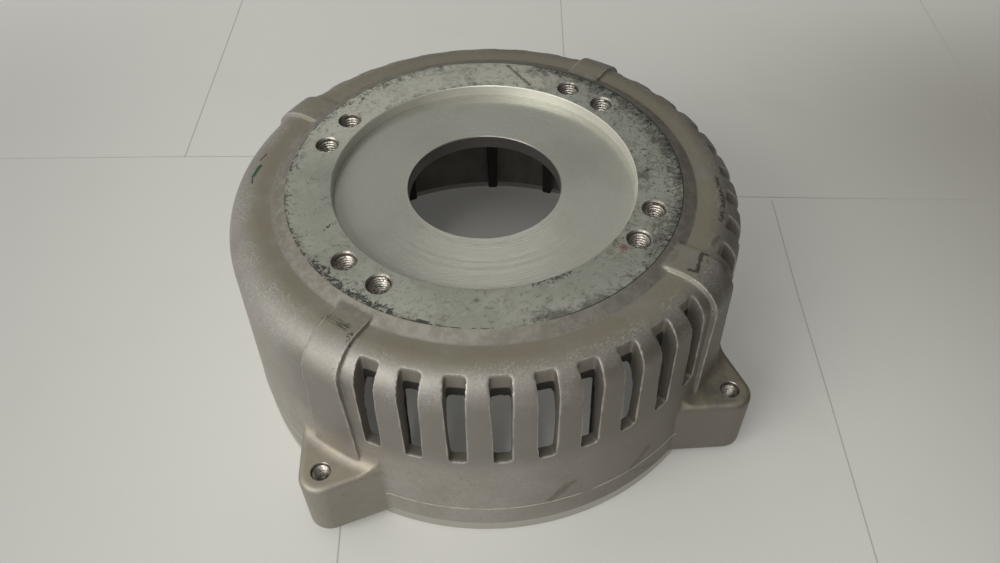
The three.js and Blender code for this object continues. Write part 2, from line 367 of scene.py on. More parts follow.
def drill(radius, pitch_radius, angle, low, high, chamfers):
    """A round cutter; chamfers lists (height, depth, side) with side +1 for a mouth facing up."""
    past = 0.3
    edge = [(radius, low), (radius, high)]
    for z, depth, side in chamfers:
        wide = radius + depth + past
        if side > 0:
            edge = edge[:-1] + [(radius, z - depth), (wide, z + past), (wide, high)]
        else:
            edge = [(wide, low), (wide, z - past), (radius, z + depth)] + edge[1:]
    steps = FINE_STEPS if radius > 20 else HOLE_STEPS
    cutter = lathe("drill", [(0, low)] + edge + [(0, high)], steps)
    cutter.data.transform(Matrix.Translation((pitch_radius * MM, 0, 0)))
    return turned_to(cutter, angle)


def machine(body):
    far = LUG_PCR + BEYOND
    over = HEIGHT + CUT_PAST
    facing_r = 100
    facing = [(0, HEIGHT), (facing_r, HEIGHT), (facing_r, over), (0, over)]
    base = [(0, -CUT_PAST), (far, -CUT_PAST), (far, 0), (0, 0)]
    spigot_lip = SPIGOT_R - SPIGOT_CHAMFER
    spigot = [(spigot_lip, -5), (far, -5), (far, FOOT_Z), (SPIGOT_R, FOOT_Z),
              (SPIGOT_R, SPIGOT_CHAMFER), (spigot_lip, 0)]
    holes = [drill(RING_HOLE_R, RING_HOLE_PCR, a, UNDERSIDE_Z - BEYOND, HEIGHT + 5, [(HEIGHT, 0.7, 1)])
             for a in RING_HOLE_ANGLES]
    holes += [drill(LUG_HOLE_R, LUG_PCR, a, -5, LUG_TOP_Z + BEYOND,
                    [(LUG_TOP_Z, 0.3, 1), (FOOT_Z, 0.5, -1)]) for a in QUARTERS]
    cutters = (
        lathe("facing", facing),
        drill(PILOT_R, 0, 0, PILOT_FLOOR_Z, over, [(HEIGHT, 0.35, 1)]),
        drill(BORE_R, 0, 0, UNDERSIDE_Z - 8, over, [(PILOT_FLOOR_Z, 0.4, 1), (UNDERSIDE_Z, 0.5, -1)]),
        lathe("base_cut", base),
        drill(REGISTER_R, 0, 0, -CUT_PAST, REGISTER_DEPTH, [(0, 0.4, -1)]),
        lathe("spigot_cut", spigot),
        joined("holes", holes),
    )
    for cutter in cutters:
        combine(body, cutter, "DIFFERENCE")
    return body


# ---- thread inserts ----

def wire_coil(name, crest_r, root_r, pitch, turns, place, start):
    """A right-handed coil of six-sided wire, hanging down from its place, with both ends cut square."""
    middle = (crest_r + root_r) / 2
    flat, wide = 0.07 * pitch, 0.41 * pitch
    section = [(crest_r, flat), (crest_r, -flat), (middle, -wide)]
    section += [(root_r, -flat), (root_r, flat), (middle, wide)]
    steps = 36
    levels = []
    for i in range(int(turns * steps) + 1):
        a = start + 2 * math.pi * i / steps
        drop = wide + pitch * i / steps
        levels.append([(r * math.cos(a), r * math.sin(a), z - drop) for r, z in section])
    coil = loft(name, levels)
    coil.data.transform(Matrix.Translation([c * MM for c in place]))
    return coil


def make_coils(rng, label, angles, pitch_radius, top, crest, hole_r, pitch, turns):
    coils = []
    for number, angle in enumerate(angles, 1):
        a = math.radians(angle)
        sunk = rng.uniform(0.7, 1.1)
        place = (pitch_radius * math.cos(a), pitch_radius * math.sin(a), top - sunk)
        start = rng.uniform(0, 2 * math.pi)
        coil = wire_coil(f"{label}_coil_{number}", crest, hole_r - 0.04, pitch, turns, place, start)
        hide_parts(f"{label}_{number}")
        coils.append(coil)
    return coils


def make_inserts():
    rng = random.Random(7)
    coils = make_coils(rng, "flange_insert", RING_HOLE_ANGLES, RING_HOLE_PCR, HEIGHT,
                       4.2, RING_HOLE_R, 1.5, 7.2)
    coils += make_coils(rng, "lug_insert", QUARTERS, LUG_PCR, LUG_TOP_Z,
                        3.38, LUG_HOLE_R, 1.25, 12.4)
    return coils


# ---- finishes ----

# Colours, as shares of red, green and blue light.
SKIN_PALE = (0.445, 0.422, 0.398)
SKIN_DULL = (0.390, 0.367, 0.338)
SKIN_GRAIN = (0.84, 0.83, 0.81)         # multiplies the skin in its grain
SKIN_MOTTLE = (0.30, 0.275, 0.235)
SKIN_STAIN = (0.36, 0.31, 0.265)
SKIN_FRONT_BARS_DARK = (0.24, 0.225, 0.205)
SKIN_GRIME_AND_SHADE = (0.205, 0.185, 0.160)
CROWN_BROWN_AND_SHADE = (0.265, 0.238, 0.175)
SKIRT_PALE = (0.385, 0.360, 0.318)
SKIRT_DULL = (0.285, 0.262, 0.222)
LUG_SIDE_SHADE = (0.27, 0.245, 0.205)
LUG_TOP = (0.45, 0.405, 0.305)
SCORED = (0.70, 0.685, 0.64)
PARTING_HIGHLIGHT = (0.80, 0.76, 0.71)
EDGE_WEAR_AND_HIGHLIGHT = (0.72, 0.69, 0.63)
SLOT_WALL_DIRT_AND_SHADE = (0.30, 0.27, 0.235)
SLOT_FOOT_SHADE = (0.040, 0.038, 0.034)
INSIDE_DARK = (0.20, 0.19, 0.165)
INSIDE_PALE = (0.27, 0.255, 0.22)
BROWN_DIRT = (0.145, 0.125, 0.095)
BLACK_DIRT = (0.035, 0.032, 0.027)
GREEN_PAINT = (0.012, 0.075, 0.035)

FILM_DULL = (0.325, 0.332, 0.282)
FILM_PALE = (0.405, 0.410, 0.355)
FILM_BACK_LIGHT = (0.62, 0.625, 0.545)
FILM_BLOTCH = (0.27, 0.275, 0.235)
FILM_STAIN = (0.20, 0.192, 0.155)
FILM_MOTTLE = (0.11, 0.108, 0.092)
RING_BARE = (0.50, 0.495, 0.455)
SOOT = (0.085, 0.086, 0.074)
SOOT_WISP = (0.10, 0.10, 0.085)
GASKET_BLACK_AND_RIM_SHADE = (0.024, 0.024, 0.021)
RED_PAINT = (0.25, 0.075, 0.055)
RING_SCRATCH = (0.62, 0.62, 0.58)

DISC_METAL = (0.56, 0.56, 0.50)
WALL_METAL = (0.82, 0.80, 0.73)
# painted shade: the bore's wall is given a darker metal
BORE_METAL_SHADED = (0.30, 0.275, 0.265)
BAND_METAL = (0.50, 0.48, 0.45)
TURNED_FILM = (0.40, 0.385, 0.33)
TURNED_MARK = (0.20, 0.19, 0.17)
WIRE_BRIGHT = (0.56, 0.53, 0.48)
WIRE_GRIME = (0.20, 0.165, 0.12)
HOLE_BRIGHT = (0.44, 0.415, 0.38)
HOLE_GRIME = (0.24, 0.22, 0.19)

PAPER = (0.74, 0.735, 0.70)
PAPER_SMUDGE = (0.67, 0.66, 0.615)
PAPER_RIGHT_SHADE = (0.40, 0.387, 0.345)
PAPER_LEFT_SHADE = (0.58, 0.58, 0.555)
PAPER_BACK_LIGHT = (0.80, 0.795, 0.76)
PAPER_SPECK = (0.30, 0.29, 0.26)
PAPER_EDGE_SHADOW = (0.53, 0.52, 0.485)

PAPER_GLOW = 0.07           # strength of the paper's own faint light


def scaled(color, share):
    return [channel * share for channel in color]


class Finish:
    """A material written as a list of steps on its shader nodes.

    x, y, z, r and spot are in millimetres. Noise takes the number of its features in a metre.
    """

    def __init__(self, name):
        self.material = bpy.data.materials.new(name)
        self.material.use_nodes = True
        self.tree = self.material.node_tree
        self.surface = self.tree.nodes["Principled BSDF"]
        self.place = self.add("ShaderNodeTexCoord").outputs["Object"]
        self.spot = self.stretched(self.place, 1 / MM)
        parts = self.add("ShaderNodeSeparateXYZ")
        self.feed(parts.inputs[0], self.spot)
        self.x, self.y, self.z = parts.outputs
        self.r = self.length(self.x, self.y)

    # -- nodes --

    def add(self, kind):
        return self.tree.nodes.new(kind)

    def feed(self, socket, value):
        if isinstance(value, bpy.types.NodeSocket):
            self.tree.links.new(value, socket)
        else:
            socket.default_value = value

    def math(self, operation, a, b=0.0, c=0.0, clamp=False):
        node = self.add("ShaderNodeMath")
        node.operation = operation
        node.use_clamp = clamp
        for socket, value in zip(node.inputs, (a, b, c)):
            self.feed(socket, value)
        return node.outputs[0]

    def vector(self, operation, a, b):
        node = self.add("ShaderNodeVectorMath")
        node.operation = operation
        self.feed(node.inputs[0], a)
        self.feed(node.inputs[1], b)
        return node.outputs["Value" if operation in ("DISTANCE", "DOT_PRODUCT") else "Vector"]

    def stretched(self, vector, factor):
        node = self.add("ShaderNodeVectorMath")
        node.operation = "SCALE"
        self.feed(node.inputs[0], vector)
        self.feed(node.inputs["Scale"], factor)
        return node.outputs["Vector"]

    def mix(self, factor, a, b, blend="MIX"):
        node = self.add("ShaderNodeMix")
        node.data_type = "RGBA"
        node.blend_type = blend
        self.feed(node.inputs[0], factor)
        for socket, value in ((node.inputs[6], a), (node.inputs[7], b)):
            self.feed(socket, value if isinstance(value, bpy.types.NodeSocket) else (*value, 1.0))
        return node.outputs[2]

    def stored(self, name):
        """A number kept on the mesh's vertices."""
        node = self.add("ShaderNodeAttribute")
        node.attribute_name = name
        return node.outputs["Fac"]

    # -- arithmetic --

    def plus(self, a, b):
        return self.math("ADD", a, b)

    def minus(self, a, b):
        return self.math("SUBTRACT", a, b)

    def times(self, *values):
        result = values[0]
        for value in values[1:]:
            result = self.math("MULTIPLY", result, value)
        return result

    def either(self, *values):
        result = values[0]
        for value in values[1:]:
            result = self.math("MAXIMUM", result, value)
        return result

    def length(self, a, b):
        return self.math("POWER", self.plus(self.times(a, a), self.times(b, b)), 0.5)

    def past(self, value, limit):
        """How far a value lies past a limit, or nothing."""
        return self.either(self.minus(value, limit), 0.0)

    def step(self, value, low, high):
        """A smooth step from 0 at low to 1 at high, which may be the smaller one."""
        node = self.add("ShaderNodeMapRange")
        node.interpolation_type = "SMOOTHSTEP"
        for key, setting in (("Value", value), ("From Min", low), ("From Max", high)):
            self.feed(node.inputs[key], setting)
        return node.outputs["Result"]

    def blend(self, factor, a, b):
        """The number a, turning into b as factor grows."""
        return self.math("MULTIPLY_ADD", factor, self.minus(b, a), a)

    # -- patterns --

    def noise(self, scale, detail=3.0, roughness=0.55, distortion=0.0, place=None):
        node = self.add("ShaderNodeTexNoise")
        self.feed(node.inputs["Vector"], place or self.place)
        self.feed(node.inputs["Scale"], scale)
        self.feed(node.inputs["Detail"], detail)
        self.feed(node.inputs["Roughness"], roughness)
        self.feed(node.inputs["Distortion"], distortion)
        return node.outputs["Fac"]

    def patches(self, scale, low, high, detail=3.0, roughness=0.55, distortion=0.0):
        """Patches where the noise is high, with soft edges between two of its levels."""
        return self.step(self.noise(scale, detail, roughness, distortion), low, high)

    def rings(self, scale, detail):
        """Noise that changes only with the distance from the axis, as turned marks do."""
        vector = self.add("ShaderNodeCombineXYZ")
        self.feed(vector.inputs[0], self.times(self.r, MM))
        return self.noise(scale, detail, 0.6, place=vector.outputs[0])

    def streaks(self, direction, fine, coarse, low, high):
        """Short scratches that run in one direction, in degrees from +X."""
        node = self.add("ShaderNodeMapping")
        node.vector_type = "TEXTURE"
        self.feed(node.inputs["Vector"], self.place)
        node.inputs["Rotation"].default_value = (0, 0, math.radians(direction))
        node.inputs["Scale"].default_value = (1 / coarse, 1 / fine, 1 / fine)
        return self.step(self.noise(1.0, 2.0, 0.5, place=node.outputs["Vector"]), low, high)

    def sector(self, centre, half, soft):
        """A share of the circle about the axis, in degrees, with soft ends."""
        turn = self.times(self.math("ARCTAN2", self.y, self.x), math.degrees(1))
        off = self.math("ABSOLUTE", self.math("WRAP", self.minus(turn, centre), 180.0, -180.0))
        return self.step(off, half + soft, half)

    def stroke(self, points, width, ragged, grain=420.0, soft=0.5):
        """A ragged line through points given by radius, angle and height."""
        places = []
        for radius, angle, height in points:
            a = math.radians(angle)
            places.append(Vector((radius * math.cos(a), radius * math.sin(a), height)))
        nearest = self.vector("DISTANCE", self.spot, places[0])
        for start, end in zip(places, places[1:]):
            along = end - start
            offset = self.vector("SUBTRACT", self.spot, start)
            share = self.math("MULTIPLY", self.vector("DOT_PRODUCT", offset, along),
                              1 / along.length_squared, clamp=True)
            reach = self.vector("DISTANCE", offset, self.stretched(along, share))
            nearest = self.math("MINIMUM", nearest, reach)
        torn = self.times(self.minus(self.noise(grain, 4.0, 0.65), 0.5), ragged)
        edge = width / 2
        return self.step(self.plus(nearest, torn), edge, edge * (1 - soft))

    # -- results --

    def coat(self, color, coats):
        """The colour under coats laid on in order, each given by its mask, strength and shade."""
        for mask, strength, shade in coats:
            color = self.mix(self.times(mask, strength), color, shade)
        return color

    def bump(self, height, distance, after=None):
        node = self.add("ShaderNodeBump")
        self.feed(node.inputs["Height"], height)
        node.inputs["Distance"].default_value = distance * MM
        if after is not None:
            self.feed(node.inputs["Normal"], after)
        return node.outputs["Normal"]

    def finish(self, color, metallic, roughness, normal=None):
        base = self.surface.inputs["Base Color"]
        self.feed(base, color if isinstance(color, bpy.types.NodeSocket) else (*color, 1.0))
        self.feed(self.surface.inputs["Metallic"], metallic)
        self.feed(self.surface.inputs["Roughness"], roughness)
        if normal is not None:
            self.feed(self.surface.inputs["Normal"], normal)
        return self.material


def depth_masks(f):
    """Where the surface is a wall of a slot, the bell's inside, or the foot of a slot's end, which gets
    painted shade.
    """
    wall_slope = (PARTING_R - WALL_TOP_R) / (SHOULDER_Z - PARTING_Z)
    below = f.either(f.minus(SHOULDER_Z, f.z), 0.0)
    out = f.past(f.minus(f.r, f.times(below, wall_slope)), SHOULDER_TOP_R)
    across = f.math("DIVIDE", out, WALL_TOP_R - SHOULDER_TOP_R)
    up = f.math("DIVIDE", f.past(f.z, SHOULDER_Z), CROWN_Z - SHOULDER_Z)
    buried = f.step(f.length(across, up), 0.95, 0.90)
    fillet_z = UNDERSIDE_Z - INNER_FILLET
    draft = (INNER_BASE_R - INNER_TOP_R) / fillet_z
    corner = f.length(f.past(f.r, INNER_TOP_R - INNER_FILLET), f.past(f.z, fillet_z))
    inner = f.minus(corner, f.times(f.either(f.minus(fillet_z, f.z), 0.0), draft))
    inside = f.step(inner, INNER_FILLET + 1.4, INNER_FILLET + 0.9)
    slot_foot_shade = f.times(f.step(f.z, SLOT_PART_Z + 0.3, SLOT_PART_Z - 0.3),
                        f.step(f.r, SLOT_END_R + 0.8, SLOT_END_R + 0.3))
    return buried, inside, slot_foot_shade


def black_marks(f):
    """Black marks on the strips and the shoulder, and a few specks all over."""
    torn = f.patches(700, 0.38, 0.52)
    hatch = f.streaks(-46, 1500, 220, 0.38, 0.50)
    front_left = f.stroke([(107.6, -139.5, 112.5), (108.2, -133.6, 114)], 5.5, 4, 420, 0.9)
    return f.either(
        f.times(front_left, hatch),
        f.times(f.stroke([(110.5, -131.5, 113.5), (113, -131, 112.5)], 3, 5), torn),
        f.stroke([(108.9, -47.6, 114), (112.2, -47.0, 113.4), (110.8, -44.3, 113.9),
                  (109.8, -41.2, 114), (112.4, -40.9, 113.4)], 2.3, 2.6),
        f.times(f.stroke([(112, -12.5, 111.7), (114, -21.8, 111.1), (112.9, -27.5, 111.4)],
                         3.2, 4.5), torn),
        f.stroke([(118.3, 132.1, 110), (115.5, 131.4, 111.8)], 1.8, 2.5),
        f.stroke([(113.1, 158.5, 111.4), (111.6, 156.3, 111.8)], 1.3, 1.2),
        f.stroke([(113.2, 165.4, 111.3), (112.6, 167.3, 111.5)], 1.0, 1.2),
        f.times(f.patches(430, 0.74, 0.775, 2.0, 0.5), 0.6))


def brown_marks(f):
    """Brown smears low on the wall and round the front right strip, with two fine lines."""
    smears = (
        ([(126.2, -88.8, 24), (126, -84.2, 34)], 7, 7, 200),
        ([(126.2, -65.3, 31.5), (126.2, -69.5, 23)], 7, 6, 200),
        ([(120.6, -41.5, 108.5), (119.6, -41, 109.6)], 4.5, 3.5, 300),
        ([(113.6, -42.8, 112.9), (113.2, -42.4, 113)], 2.4, 2, 300),
        ([(113.4, -33, 111.3), (111.8, -36.4, 111.8)], 3.0, 4, 300),
    )
    marks = [f.stroke(points, width, ragged, grain, 0.9) for points, width, ragged, grain in smears]
    marks.append(f.stroke([(126.2, -90.6, 20.6), (126.2, -85.1, 20.2)], 1.1, 1.2))
    marks.append(f.stroke([(126.2, -70.2, 19.8), (126.2, -61.9, 9)], 1.4, 1.4))
    marks.append(f.times(f.stroke([(126.2, -96, 3), (126.2, -78, 3)], 5, 6, 200, 0.9), 0.8))
    return f.either(*marks)


def cast_finish():
    """The skin as cast and shot: fine grain, a brown crown with painted shade, scored slot tops, a dark
    inside.
    """
    f = Finish("cast_aluminium_skin")
    cloud = f.noise(38, 5.0, 0.6)
    grain = f.noise(1300, 3.0, 0.6)
    fine = f.noise(3300, 2.0, 0.6)
    color = f.mix(f.step(cloud, 0.35, 0.68), SKIN_PALE, SKIN_DULL)
    color = f.mix(f.step(grain, 0.30, 0.72), f.mix(1.0, color, SKIN_GRAIN, "MULTIPLY"), color)

    # the crown is brown, and is painted darker still as shade
    crown = f.times(f.step(f.z, CROWN_Z - 6.9, CROWN_Z - 0.4), f.step(f.r, SKIRT_R - 0.5, SKIRT_R + 0.7),
                    f.step(f.r, WALL_TOP_R - 6.0, SHOULDER_TOP_R + 2.5), f.patches(60, 0.22, 0.55, 4.0))
    skirt = f.times(f.step(f.r, SKIRT_R + 0.5, SKIRT_R - 0.5), f.step(f.z, CROWN_Z - 0.6, CROWN_Z - 0.2))
    # the skirt gets a mottled tone of its own, darker than the wall's skin
    skirt_tone = f.mix(f.patches(190, 0.36, 0.62, 5.0, 0.7), SKIRT_PALE, SKIRT_DULL)
    lug_top = f.times(f.step(f.z, LUG_TOP_Z - 1.5, LUG_TOP_Z - 0.2),
                      f.step(f.z, LUG_TOP_Z + 11, LUG_TOP_Z + 2),
                      f.step(f.r, PARTING_R - 0.75, PARTING_R + 1.25), f.patches(90, 0.30, 0.60, 4.0))
    # painted shade: the lugs' sides are painted darker than their tops
    lug_side_shade = f.times(f.step(f.z, LUG_TOP_Z - 0.5, LUG_TOP_Z - 2.5),
                       f.step(f.r, PARTING_R + 0.55, PARTING_R + 1.95))
    # the bars between the front slots are painted darker
    bars = f.times(f.step(f.z, SLOT_BOTTOM_Z - 10.2, SLOT_BOTTOM_Z + 5.8),
                   f.step(f.z, CROWN_Z - 6.4, CROWN_Z - 16.4), f.sector(-90, 50, 15))
    # painted shade on the right side of the wall, with some grime
    right_side = f.times(f.sector(-12, 48, 46), f.step(f.z, CROWN_Z + 0.6, CROWN_Z - 8.4))
    slot_tops = f.times(f.step(f.z, SHOULDER_Z - 9.5, SHOULDER_Z + 2.5),
                        f.step(f.r, SHOULDER_TOP_R + 0.5, SHOULDER_TOP_R + 5.5),
                        f.patches(45, 0.38, 0.58, 2.0))
    scores = f.either(f.streaks(28, 2600, 330, 0.57, 0.66), f.streaks(-62, 2400, 300, 0.59, 0.68),
                      f.streaks(75, 2800, 380, 0.60, 0.68))
    scored = f.times(slot_tops, scores)
    # painted highlight along the parting ridge
    parting = f.times(f.step(f.math("ABSOLUTE", f.minus(f.z, PARTING_Z)), 0.55, 0.25),
                      f.patches(110, 0.30, 0.50), f.step(f.r, PARTING_R - 0.75, PARTING_R - 0.25),
                      f.step(f.r, PARTING_R + 1.15, PARTING_R + 0.75))
    # outer edges painted lighter: partly wear, partly painted highlight
    worn_edge_highlight = f.times(f.step(f.stored("bulge"), 0.05, 0.17), f.patches(75, 0.25, 0.50, 4.0))
    buried, inside, slot_foot_shade = depth_masks(f)
    inner_color = f.mix(f.step(cloud, 0.4, 0.6), INSIDE_DARK, INSIDE_PALE)
    black = black_marks(f)
    green = f.stroke([(113.2, 164.6, 111.3), (111.7, 161, 111.8)], 3.0, 1.6)

    color = f.coat(color, (
        (f.patches(210, 0.42, 0.62, 5.0, 0.7), 0.22, SKIN_MOTTLE),
        (crown, 0.85, CROWN_BROWN_AND_SHADE),
        (skirt, 0.85, skirt_tone),
        (lug_side_shade, 0.45, LUG_SIDE_SHADE),
        (f.patches(16, 0.52, 0.75), 0.4, SKIN_STAIN),
        (bars, 0.75, SKIN_FRONT_BARS_DARK),
        (right_side, 0.80, SKIN_GRIME_AND_SHADE),
        (lug_top, 0.72, LUG_TOP),
        (scored, 0.5, SCORED),
        (parting, 0.75, PARTING_HIGHLIGHT),
        # slot walls painted darker: their brown dirt, and painted shade inside the slots
        (buried, 0.8, SLOT_WALL_DIRT_AND_SHADE),
        (worn_edge_highlight, 0.52, EDGE_WEAR_AND_HIGHLIGHT),
        (inside, 1.0, inner_color),
        # painted shade: the foot of each slot's end face is painted near black
        (slot_foot_shade, 1.0, SLOT_FOOT_SHADE),
        (brown_marks(f), 0.55, BROWN_DIRT),
        (black, 0.9, BLACK_DIRT),
        (green, 0.95, GREEN_PAINT),
    ))
    dull = f.either(black, green, f.times(f.either(inside, slot_foot_shade), 0.8))
    rough = f.blend(dull, f.blend(f.step(fine, 0.3, 0.7), 0.50, 0.60), 0.78)
    metal = f.blend(f.either(dull, f.times(crown, 0.5)), 0.74, 0.1)
    normal = f.bump(f.noise(170, 3.0, 0.5), 0.10)
    normal = f.bump(f.plus(grain, f.times(fine, 0.5)), 0.045, normal)
    return f.finish(color, metal, rough, f.bump(scored, 0.05, normal))


def soot_share(f, right, outer, inner):
    """Where the ring's soot lies thickest: by the outer edge, on the right and behind."""
    return f.either(f.times(right, f.blend(outer, 0.13, 0.25)),
                    f.times(outer, f.sector(-72, 14, 12), 0.20),
                    f.times(outer, f.sector(112, 26, 14), 0.17),
                    f.times(outer, f.sector(-175, 40, 20), 0.10),
                    f.times(inner, f.sector(85, 30, 20), 0.12),
                    f.times(f.sector(-52, 6, 8), 0.10))


def gasket_black_and_rim_shade(f, right, outer, inner):
    """Flecks of the old gasket, a fine dark line round the inner edge, painted shade along the outer
    edge, and a few torn strokes.
    """
    rim_belt = f.step(f.r, RING_R - 3.5, RING_R - 0.5)
    share = f.either(f.times(f.step(f.r, RING_R - 7.5, RING_R - 1.5), f.sector(-141, 14, 5), 0.21),
                     f.times(rim_belt, f.sector(-122, 8, 4), 0.19),
                     f.times(rim_belt, f.sector(176, 22, 8), 0.15),
                     f.times(outer, f.sector(35, 22, 12), 0.15),
                     f.times(outer, f.sector(125, 14, 10), 0.12),
                     f.times(right, f.blend(outer, 0.06, 0.12)),
                     f.times(inner, f.sector(-79, 7, 3), 0.15))
    flecks = f.step(f.plus(f.noise(560, 5.0, 0.72, 0.8), share), 0.655, 0.70)
    broken = f.times(f.patches(130, 0.46, 0.56), 0.9)
    # painted shade: a fine dark line along the ring's outer edge, full on the right and broken elsewhere
    outer_rim_shade = f.times(f.step(f.r, RING_R - 0.65, RING_R - 0.40), f.either(f.sector(0, 75, 15), broken))
    inner_rim = f.times(f.step(f.r, PILOT_R + 0.575, PILOT_R + 0.375), 0.5)
    hatched = f.times(f.stroke([(92.8, -138.5, HEIGHT), (93.4, -133, HEIGHT)], 4, 3),
                      f.streaks(-43, 1300, 150, 0.46, 0.56))
    grainy = f.times(f.stroke([(81, -166, HEIGHT), (75, -168, HEIGHT)], 2.6, 2), f.patches(900, 0.5, 0.6))
    return f.either(flecks, outer_rim_shade, inner_rim, hatched, grainy,
                    f.stroke([(93.9, -118.6, HEIGHT), (94.2, -117, HEIGHT)], 2.6, 1.6),
                    f.stroke([(94.4, 175.8, HEIGHT), (91.6, 175.4, HEIGHT)], 1.0, 0.9),
                    f.times(f.stroke([(92.1, 69.8, HEIGHT), (77, 59.4, HEIGHT)], 2.2, 2.5), 0.7))


def ring_finish():
    """The machined ring under the pale film of an old gasket, with soot and black flecks."""
    f = Finish("ring_with_residue")
    right = f.sector(5, 45, 30)
    outer = f.step(f.r, RING_R - 10.5, RING_R - 0.5)
    inner = f.step(f.r, PILOT_R + 5.475, PILOT_R + 0.975)
    film = f.mix(f.patches(30, 0.38, 0.66, 4.0), FILM_DULL, FILM_PALE)
    blotch = f.noise(230, 5.0, 0.7)
    mottle = f.times(f.patches(330, 0.52, 0.66, 6.0, 0.78, 0.5), f.patches(45, 0.34, 0.54))
    bare = f.times(f.patches(70, 0.60, 0.68, 5.0, 0.65), 0.6)
    sooty = soot_share(f, right, outer, inner)
    clouds = f.step(f.plus(f.noise(95, 6.0, 0.72, 1.5), sooty), 0.60, 0.80)
    wisps = f.step(f.plus(f.noise(150, 4.0, 0.6, 3.5), f.times(sooty, 0.5)), 0.625, 0.69)
    black = gasket_black_and_rim_shade(f, right, outer, inner)
    red = f.stroke([(78.6, -50.5, HEIGHT), (80, -52, HEIGHT)], 5, 3, 300, 0.9)
    scratches = f.either(f.streaks(35, 1500, 90, 0.70, 0.74), f.streaks(-20, 1600, 100, 0.70, 0.74),
                         f.streaks(82, 1500, 80, 0.71, 0.75))
    color = f.coat(film, (
        # painted light: the back of the ring is painted paler
        (f.sector(98, 34, 36), 0.75, FILM_BACK_LIGHT),
        (f.step(blotch, 0.50, 0.72), 0.5, FILM_BLOTCH),
        (f.patches(58, 0.50, 0.68, 5.0, 0.72, 0.6), 0.42, FILM_STAIN),
        (mottle, 0.75, FILM_MOTTLE),
        (bare, 1.0, RING_BARE),
        (clouds, 0.72, SOOT),
        (f.times(wisps, f.patches(26, 0.42, 0.58, 2.0)), 0.6, SOOT_WISP),
        (black, 0.92, GASKET_BLACK_AND_RIM_SHADE),
        (red, 0.5, RED_PAINT),
        (scratches, 0.35, RING_SCRATCH),
    ))
    metal = f.times(f.either(bare, f.times(scratches, 0.6)), f.minus(1.0, black))
    normal = f.bump(f.minus(blotch, black), 0.05)
    return f.finish(color, f.blend(black, f.either(metal, 0.15), 0.0), f.blend(metal, 0.60, 0.40), normal)


def turned_finish(name, color, roughness, anisotropy, metallic, film_and_shade_share):
    """Metal turned about the bell's axis: fine rings, and a highlight that fans out from the centre."""
    f = Finish(name)
    rings = f.rings(5200, 3.0)
    bands = f.rings(330, 2.0)
    film = f.times(f.patches(24, 0.46, 0.70, 4.0, 0.6), film_and_shade_share)
    specks = f.times(f.patches(300, 0.73, 0.77, 3.0, 0.6), film_and_shade_share)
    scratches = f.either(f.streaks(12, 1500, 60, 0.71, 0.74), f.streaks(-55, 1500, 60, 0.71, 0.74))
    marks = f.either(f.times(specks, 0.6), f.times(scratches, 0.22))
    shade = f.coat(f.mix(f.step(rings, 0.3, 0.7), scaled(color, 0.93), color), (
        (f.step(bands, 0.4, 0.65), 0.25, scaled(color, 0.88)),
        (film, 1.0, TURNED_FILM),
        # painted shade: the left of the turned faces is painted darker
        (f.sector(165, 45, 50), film_and_shade_share, scaled(color, 0.70)),
        (marks, 1.0, TURNED_MARK),
    ))
    rough = f.blend(f.step(bands, 0.35, 0.7), roughness, roughness + 0.05)
    f.surface.inputs["Anisotropic"].default_value = anisotropy
    tangent = f.add("ShaderNodeTangent")
    tangent.direction_type = "RADIAL"
    tangent.axis = "Z"
    f.feed(f.surface.inputs["Tangent"], tangent.outputs[0])
    return f.finish(shade, metallic, rough, f.bump(f.minus(rings, scratches), 0.004))


def wire_finish():
    """Stainless wire with grime between its turns."""
    f = Finish("coil_wire")
    grime = f.patches(900, 0.45, 0.66)
    color = f.mix(f.times(grime, 0.8), WIRE_BRIGHT, WIRE_GRIME)
    return f.finish(color, 0.95, f.blend(grime, 0.36, 0.55), f.bump(f.noise(2500, 2.0), 0.01))


def hole_finish():
    """Drilled walls and their chamfers, a little stained."""
    f = Finish("drilled_wall")
    cloud = f.patches(420, 0.4, 0.65)
    color = f.mix(cloud, HOLE_BRIGHT, HOLE_GRIME)
    return f.finish(color, 0.85, f.blend(cloud, 0.36, 0.5), f.bump(f.noise(1800, 2.0), 0.02))


def paper_finish():
    """Printer paper, a little grubby, with painted shade to the right and left and painted light behind.
    """
    f = Finish("pale_paper")
    smudge = f.times(f.patches(9, 0.52, 0.74, 5.0, 0.6), 0.35)
    color = f.coat(f.mix(smudge, PAPER, PAPER_SMUDGE), (
        # painted shade to the right and left of the housing, painted light behind it
        (f.times(f.step(f.x, 120, 420), f.step(f.y, 340, 80)), 1.0, PAPER_RIGHT_SHADE),
        (f.step(f.x, -100, -360), 1.0, PAPER_LEFT_SHADE),
        (f.step(f.y, 250, 600), 1.0, PAPER_BACK_LIGHT),
        (f.patches(160, 0.76, 0.80), 0.45, PAPER_SPECK),
    ))
    # A faint glow of its own stands in for the light that bounces about the room.
    f.feed(f.surface.inputs["Emission Color"], color)
    f.surface.inputs["Emission Strength"].default_value = PAPER_GLOW
    return f.finish(color, 0.0, 0.7, f.bump(f.noise(14, 3.0), 0.4))


# ---- which faces get which finish ----

SKIN, RING, DISC, WALL, BORE, BAND, HOLE = range(7)


def casting_finishes():
    """One finish for each of the names above, in their order."""
    return (cast_finish(), ring_finish(),
            turned_finish("turned_disc", DISC_METAL, 0.25, 0.85, 0.5, 0.4),
            turned_finish("turned_wall", WALL_METAL, 0.32, 0.3, 0.45, 0.2),
            # the bore's wall is painted dark as shade
            turned_finish("turned_bore", BORE_METAL_SHADED, 0.30, 0.3, 0.85, 0.3),
            turned_finish("turned_rim", BAND_METAL, 0.40, 0.3, 0.8, 0.2),
            hole_finish())


def read_vectors(items, key):
    """A property of three numbers, as one row for each item."""
    values = np.zeros(len(items) * 3, np.float32)
    items.foreach_get(key, values)
    return values.reshape(-1, 3)


